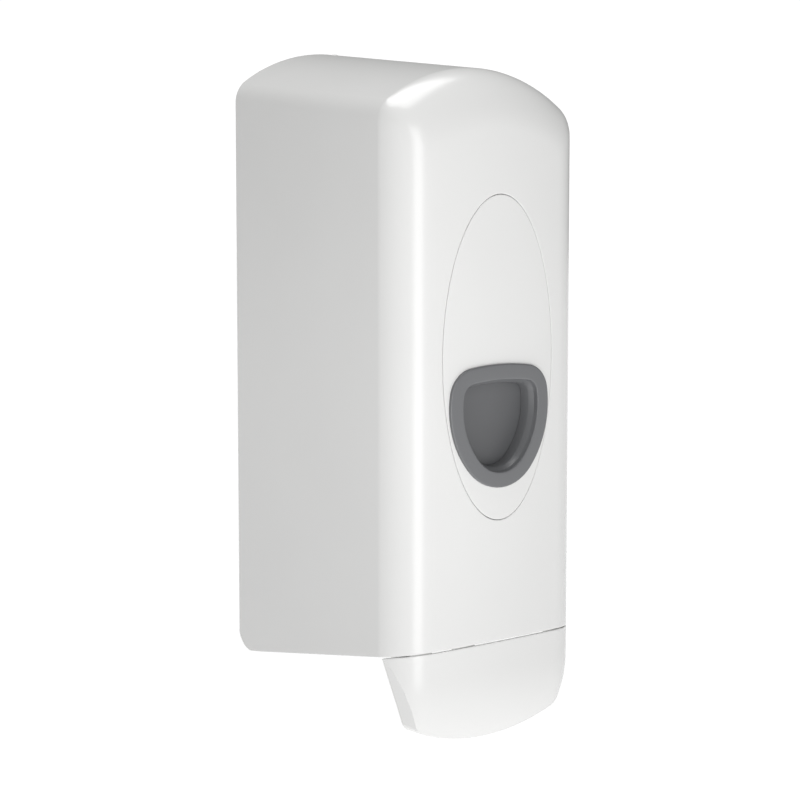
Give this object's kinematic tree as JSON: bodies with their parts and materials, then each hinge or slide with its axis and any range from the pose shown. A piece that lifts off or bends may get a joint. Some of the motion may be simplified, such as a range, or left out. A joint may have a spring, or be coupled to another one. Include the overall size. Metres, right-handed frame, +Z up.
{
  "type": "wall mounted soap dispenser",
  "caption": "Arched white housing with an oval insert, a grey shield window and a push lever, hinged at the bottom over a refillable reservoir and a lift pump.",
  "frame": {"origin": "on the wall plane, on the centre line, at the middle of the housing's wall side", "axes": "+Z up, +Y into the wall, +X to the right seen from the front; the housing stands out along -Y"},
  "size_m": [0.101, 0.1253, 0.2955],
  "materials": {
    "housing_white": "white ABS, polished mould, light gloss",
    "window_grey": "mid grey ABS, satin gloss",
    "window_smoke": "smoked grey pane, gloss",
    "frosted_plastic": "natural polyethylene, frosted and translucent",
    "pump_plastic": "natural acetal, satin",
    "silicone": "grey silicone, matt",
    "steel": "stainless steel, drawn"
  },
  "bodies": {
    "back": {"back_plate": "housing_white", "support_shelf": "housing_white", "shelf_screw_left": "steel", "shelf_screw_right": "steel", "reservoir": "frosted_plastic", "lid_hinge_pin": "steel", "pump_barrel": "pump_plastic", "pump_nut": "pump_plastic", "neck_gasket": "silicone", "barrel_cap": "pump_plastic", "inlet_valve": "silicone", "pump_spring": "steel", "latch_spring": "steel"},
    "cover": {"cover": "housing_white", "oval_panel": "housing_white", "window_bezel": "window_grey", "window_pane": "window_smoke", "hinge_pin_left": "steel", "hinge_pin_right": "steel", "lever_pin_left": "steel", "lever_pin_right": "steel"},
    "lever": {"push_lever": "housing_white", "lever_yoke": "pump_plastic"},
    "piston": {"pump_piston": "pump_plastic", "piston_seal": "silicone", "nozzle": "pump_plastic", "outlet_valve": "silicone"},
    "lid": {"reservoir_lid": "frosted_plastic", "lid_seal": "silicone"},
    "latch": {"latch_button": "housing_white"}
  },
  "joints": [
    {"name": "cover_hinge", "type": "hinge", "parent": "back", "child": "cover", "pos_m": [0, -0.01, -0.1251], "axis": [1, 0, 0], "range_deg": [0, 75]},
    {"name": "lever_hinge", "type": "hinge", "parent": "cover", "child": "lever", "pos_m": [0, -0.106, -0.109], "axis": [1, 0, 0], "range_deg": [0, 12], "stiffness_Nm_per_rad": 1.2, "springref_deg": -11.46},
    {"name": "piston_slide", "type": "slide", "parent": "back", "child": "piston", "axis": [0, 0, 1], "range_m": [0, 0.0092], "deforming": ["pump_spring"]},
    {"name": "lid_hinge", "type": "hinge", "parent": "back", "child": "lid", "pos_m": [0, -0.022, 0.0765], "axis": [-1, 0, 0], "range_deg": [0, 88]},
    {"name": "latch_slide", "type": "slide", "parent": "back", "child": "latch", "axis": [0, 0, -1], "range_m": [0, 0.0035], "stiffness_N_per_m": 300, "springref_m": -0.004, "deforming": ["latch_spring"]}
  ],
  "couplings": [
    {"joint": "piston_slide", "follows": "lever_hinge", "m_per_rad": 0.0439}
  ]
}
